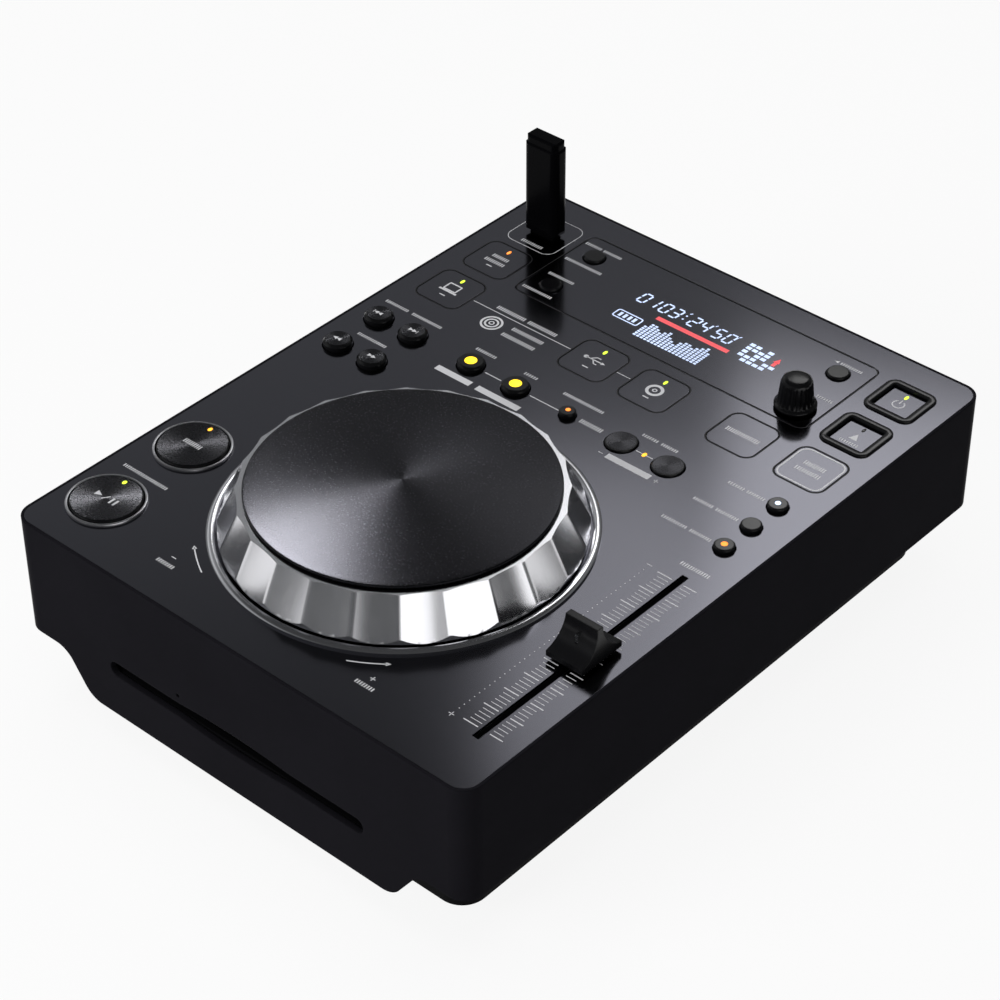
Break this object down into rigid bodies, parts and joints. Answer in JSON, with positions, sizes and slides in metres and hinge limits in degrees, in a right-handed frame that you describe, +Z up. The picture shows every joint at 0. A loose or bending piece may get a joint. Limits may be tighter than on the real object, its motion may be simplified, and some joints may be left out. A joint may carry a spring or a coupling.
{
  "type": "tabletop dj cd player",
  "caption": "Slot-loading disc player for a disc jockey, with a fluted jog wheel, a tempo fader, lit keys and a plugged-in memory stick on a sloping-shouldered case.",
  "frame": {"origin": "on the table, under the middle of the case", "axes": "+X to the user's right, +Y to the back, +Z up; the disc slot faces -Y"},
  "size_m": [0.218, 0.29, 0.1278],
  "materials": {
    "case_gloss": "black moulded plastic, polished",
    "panel_metal": "fine brushed, lacquered dark grey",
    "tub_plastic": "dark grey moulded plastic, matt",
    "rubber": "black rubber",
    "screw_steel": "zinc plated",
    "window_glass": "tinted clear plastic over a printed border",
    "tube_glass": "fluorescent display tube",
    "board_green": "lacquered circuit board",
    "supply_board": "paper circuit board",
    "rear_black": "black sheet",
    "socket_mix": "moulded sockets",
    "trim_chrome": "bright plated",
    "bronze": "sintered bronze",
    "sheet_steel": "zinc plated sheet",
    "jog_chrome": "bright plated flutes",
    "disc_brushed": "black, brushed in circles",
    "shaft_steel": "ground steel",
    "knob_black": "glossy black",
    "cap_black": "fine grained black",
    "stick_black": "satin black",
    "button_brushed": "black, brushed",
    "key_grey": "dark grey, printed outline",
    "button_gloss": "glossy black",
    "lit_yellow": "translucent, lit from below",
    "gear_white": "natural acetal",
    "motor_can": "plated can",
    "sled_black": "filled plastic",
    "roller_rubber": "soft black rubber on a steel shaft"
  },
  "bodies": {
    "root": {"upper_case": "case_gloss", "top_panel": "panel_metal", "lower_case": "tub_plastic", "feet": "rubber", "case_screws": "screw_steel", "display_window": "window_glass", "display_module": "tube_glass", "key_board": "board_green", "main_board": "board_green", "power_supply": "supply_board", "rear_panel": "rear_black", "rear_sockets": "socket_mix", "panel_trims": "trim_chrome", "jog_bearing": "bronze", "fader_track": "sheet_steel", "drive_chassis": "sheet_steel", "drive_cover": "sheet_steel", "loading_motor": "motor_can"},
    "jog": {"jog_wheel": "jog_chrome", "jog_shaft": "shaft_steel"},
    "touch_disc": {"touch_disc": "disc_brushed"},
    "selector_shaft": {"selector_shaft": "shaft_steel"},
    "selector_knob": {"selector_knob": "knob_black"},
    "tempo_fader": {"fader_cap": "cap_black", "fader_lever": "shaft_steel"},
    "memory_stick": {"memory_stick": "stick_black"},
    "traverse": {"traverse_base": "sheet_steel"},
    "turntable": {"turntable": "sled_black"},
    "pickup_sled": {"pickup_sled": "sled_black"},
    "lead_screw": {"lead_screw": "shaft_steel"},
    "lift_cam": {"lift_cam": "gear_white"},
    "feed_roller": {"feed_roller": "roller_rubber"},
    "loading_pinion": {"loading_pinion": "gear_white"},
    "clamp_arm": {"clamp_arm": "sheet_steel"},
    "clamper": {"clamper": "gear_white"},
    "cue_button": {"cue_button": "button_brushed"},
    "play_button": {"play_button": "button_brushed"},
    "power_key": {"power_key": "key_grey"},
    "eject_key": {"eject_key": "key_grey"},
    "beat_lock_key": {"beat_lock_key": "key_grey"},
    "playlist_key": {"playlist_key": "key_grey"},
    "disc_source_key": {"disc_source_key": "key_grey"},
    "usb_source_key": {"usb_source_key": "key_grey"},
    "computer_source_key": {"computer_source_key": "key_grey"},
    "usb_stop_key": {"usb_stop_key": "key_grey"},
    "time_button": {"time_button": "button_gloss"},
    "menu_button": {"menu_button": "button_gloss"},
    "back_button": {"back_button": "button_gloss"},
    "track_back_button": {"track_back_button": "button_gloss"},
    "track_next_button": {"track_next_button": "button_gloss"},
    "search_back_button": {"search_back_button": "button_gloss"},
    "search_next_button": {"search_next_button": "button_gloss"},
    "loop_in_button": {"loop_in_button": "lit_yellow"},
    "loop_out_button": {"loop_out_button": "lit_yellow"},
    "loop_exit_button": {"loop_exit_button": "button_gloss"},
    "beat_half_button": {"beat_half_button": "button_gloss"},
    "beat_double_button": {"beat_double_button": "button_gloss"},
    "vinyl_mode_button": {"vinyl_mode_button": "button_gloss"},
    "tempo_range_button": {"tempo_range_button": "button_gloss"},
    "master_tempo_button": {"master_tempo_button": "button_gloss"}
  },
  "joints": [
    {"name": "jog_turn", "type": "hinge", "parent": "root", "child": "jog", "pos_m": [0, -0.057, 0.082], "axis": [0, 0, 1], "continuous": true},
    {"name": "tempo_slide", "type": "slide", "parent": "root", "child": "tempo_fader", "axis": [0, 1, 0], "range_m": [-0.05, 0.05]},
    {"name": "stick_pull", "type": "slide", "parent": "root", "child": "memory_stick", "axis": [0, 0, 1], "range_m": [0, 0.012]},
    {"name": "selector_turn", "type": "hinge", "parent": "root", "child": "selector_shaft", "pos_m": [0.0606, 0.09155, 0.082], "axis": [0, 0, 1], "continuous": true},
    {"name": "selector_push", "type": "slide", "parent": "selector_shaft", "child": "selector_knob", "axis": [0, 0, -1], "range_m": [0, 0.0005], "stiffness_N_per_m": 400, "springref_m": -0.002},
    {"name": "touch_press", "type": "slide", "parent": "jog", "child": "touch_disc", "axis": [0, 0, -1], "range_m": [0, 0.0003], "stiffness_N_per_m": 2500, "springref_m": -0.0006},
    {"name": "traverse_lift", "type": "hinge", "parent": "root", "child": "traverse", "pos_m": [0, 0.012, 0.0234], "axis": [-1, 0, 0], "range_deg": [0, 3.72]},
    {"name": "clamp_swing", "type": "hinge", "parent": "root", "child": "clamp_arm", "pos_m": [0, 0.008, 0.0421], "axis": [1, 0, 0], "range_deg": [0, 3.14]},
    {"name": "cam_slide", "type": "slide", "parent": "root", "child": "lift_cam", "axis": [1, 0, 0], "range_m": [0, 0.015]},
    {"name": "turntable_spin", "type": "hinge", "parent": "traverse", "child": "turntable", "pos_m": [0, -0.06568, 0.03127], "axis": [0, -0.0649, 0.9979], "continuous": true},
    {"name": "clamper_spin", "type": "hinge", "parent": "clamp_arm", "child": "clamper", "pos_m": [0, -0.06514, 0.04151], "axis": [0, 0.0548, 0.9985], "continuous": true},
    {"name": "sled_travel", "type": "slide", "parent": "traverse", "child": "pickup_sled", "axis": [0, 0.9979, 0.0649], "range_m": [0, 0.034]},
    {"name": "lead_screw_spin", "type": "hinge", "parent": "traverse", "child": "lead_screw", "pos_m": [-0.036, -0.03526, 0.02594], "axis": [0, 0.9979, 0.0649], "continuous": true},
    {"name": "roller_spin", "type": "hinge", "parent": "root", "child": "feed_roller", "pos_m": [0, -0.115, 0.031], "axis": [1, 0, 0], "continuous": true},
    {"name": "pinion_spin", "type": "hinge", "parent": "root", "child": "loading_pinion", "pos_m": [0, -0.10458, 0.02226], "axis": [1, 0, 0], "continuous": true},
    {"name": "cue_press", "type": "slide", "parent": "root", "child": "cue_button", "axis": [0, 0, -1], "range_m": [0, 0.0008], "stiffness_N_per_m": 500, "springref_m": -0.002},
    {"name": "play_press", "type": "slide", "parent": "root", "child": "play_button", "axis": [0, 0, -1], "range_m": [0, 0.0008], "stiffness_N_per_m": 500, "springref_m": -0.002},
    {"name": "power_press", "type": "slide", "parent": "root", "child": "power_key", "axis": [0, 0, -1], "range_m": [0, 0.0008], "stiffness_N_per_m": 300, "springref_m": -0.002},
    {"name": "eject_press", "type": "slide", "parent": "root", "child": "eject_key", "axis": [0, 0, -1], "range_m": [0, 0.0008], "stiffness_N_per_m": 300, "springref_m": -0.002},
    {"name": "beat_lock_press", "type": "slide", "parent": "root", "child": "beat_lock_key", "axis": [0, 0, -1], "range_m": [0, 0.0008], "stiffness_N_per_m": 300, "springref_m": -0.002},
    {"name": "playlist_press", "type": "slide", "parent": "root", "child": "playlist_key", "axis": [0, 0, -1], "range_m": [0, 0.0008], "stiffness_N_per_m": 300, "springref_m": -0.002},
    {"name": "disc_source_press", "type": "slide", "parent": "root", "child": "disc_source_key", "axis": [0, 0, -1], "range_m": [0, 0.0008], "stiffness_N_per_m": 300, "springref_m": -0.002},
    {"name": "usb_source_press", "type": "slide", "parent": "root", "child": "usb_source_key", "axis": [0, 0, -1], "range_m": [0, 0.0008], "stiffness_N_per_m": 300, "springref_m": -0.002},
    {"name": "computer_source_press", "type": "slide", "parent": "root", "child": "computer_source_key", "axis": [0, 0, -1], "range_m": [0, 0.0008], "stiffness_N_per_m": 300, "springref_m": -0.002},
    {"name": "usb_stop_press", "type": "slide", "parent": "root", "child": "usb_stop_key", "axis": [0, 0, -1], "range_m": [0, 0.0008], "stiffness_N_per_m": 300, "springref_m": -0.002},
    {"name": "time_press", "type": "slide", "parent": "root", "child": "time_button", "axis": [0, 0, -1], "range_m": [0, 0.0008], "stiffness_N_per_m": 300, "springref_m": -0.002},
    {"name": "menu_press", "type": "slide", "parent": "root", "child": "menu_button", "axis": [0, 0, -1], "range_m": [0, 0.0008], "stiffness_N_per_m": 300, "springref_m": -0.002},
    {"name": "back_press", "type": "slide", "parent": "root", "child": "back_button", "axis": [0, 0, -1], "range_m": [0, 0.0008], "stiffness_N_per_m": 300, "springref_m": -0.002},
    {"name": "track_back_press", "type": "slide", "parent": "root", "child": "track_back_button", "axis": [0, 0, -1], "range_m": [0, 0.0008], "stiffness_N_per_m": 300, "springref_m": -0.002},
    {"name": "track_next_press", "type": "slide", "parent": "root", "child": "track_next_button", "axis": [0, 0, -1], "range_m": [0, 0.0008], "stiffness_N_per_m": 300, "springref_m": -0.002},
    {"name": "search_back_press", "type": "slide", "parent": "root", "child": "search_back_button", "axis": [0, 0, -1], "range_m": [0, 0.0008], "stiffness_N_per_m": 300, "springref_m": -0.002},
    {"name": "search_next_press", "type": "slide", "parent": "root", "child": "search_next_button", "axis": [0, 0, -1], "range_m": [0, 0.0008], "stiffness_N_per_m": 300, "springref_m": -0.002},
    {"name": "loop_in_press", "type": "slide", "parent": "root", "child": "loop_in_button", "axis": [0, 0, -1], "range_m": [0, 0.0008], "stiffness_N_per_m": 300, "springref_m": -0.002},
    {"name": "loop_out_press", "type": "slide", "parent": "root", "child": "loop_out_button", "axis": [0, 0, -1], "range_m": [0, 0.0008], "stiffness_N_per_m": 300, "springref_m": -0.002},
    {"name": "loop_exit_press", "type": "slide", "parent": "root", "child": "loop_exit_button", "axis": [0, 0, -1], "range_m": [0, 0.0008], "stiffness_N_per_m": 300, "springref_m": -0.002},
    {"name": "beat_half_press", "type": "slide", "parent": "root", "child": "beat_half_button", "axis": [0, 0, -1], "range_m": [0, 0.0008], "stiffness_N_per_m": 300, "springref_m": -0.002},
    {"name": "beat_double_press", "type": "slide", "parent": "root", "child": "beat_double_button", "axis": [0, 0, -1], "range_m": [0, 0.0008], "stiffness_N_per_m": 300, "springref_m": -0.002},
    {"name": "vinyl_mode_press", "type": "slide", "parent": "root", "child": "vinyl_mode_button", "axis": [0, 0, -1], "range_m": [0, 0.0008], "stiffness_N_per_m": 300, "springref_m": -0.002},
    {"name": "tempo_range_press", "type": "slide", "parent": "root", "child": "tempo_range_button", "axis": [0, 0, -1], "range_m": [0, 0.0008], "stiffness_N_per_m": 300, "springref_m": -0.002},
    {"name": "master_tempo_press", "type": "slide", "parent": "root", "child": "master_tempo_button", "axis": [0, 0, -1], "range_m": [0, 0.0008], "stiffness_N_per_m": 300, "springref_m": -0.002}
  ],
  "couplings": [
    {"joint": "clamp_swing", "follows": "traverse_lift", "ratio": 0.84366},
    {"joint": "cam_slide", "follows": "traverse_lift", "m_per_rad": 0.23084},
    {"joint": "lead_screw_spin", "follows": "sled_travel", "rad_per_m": 1570.8},
    {"joint": "pinion_spin", "follows": "roller_spin", "ratio": -2.4}
  ]
}
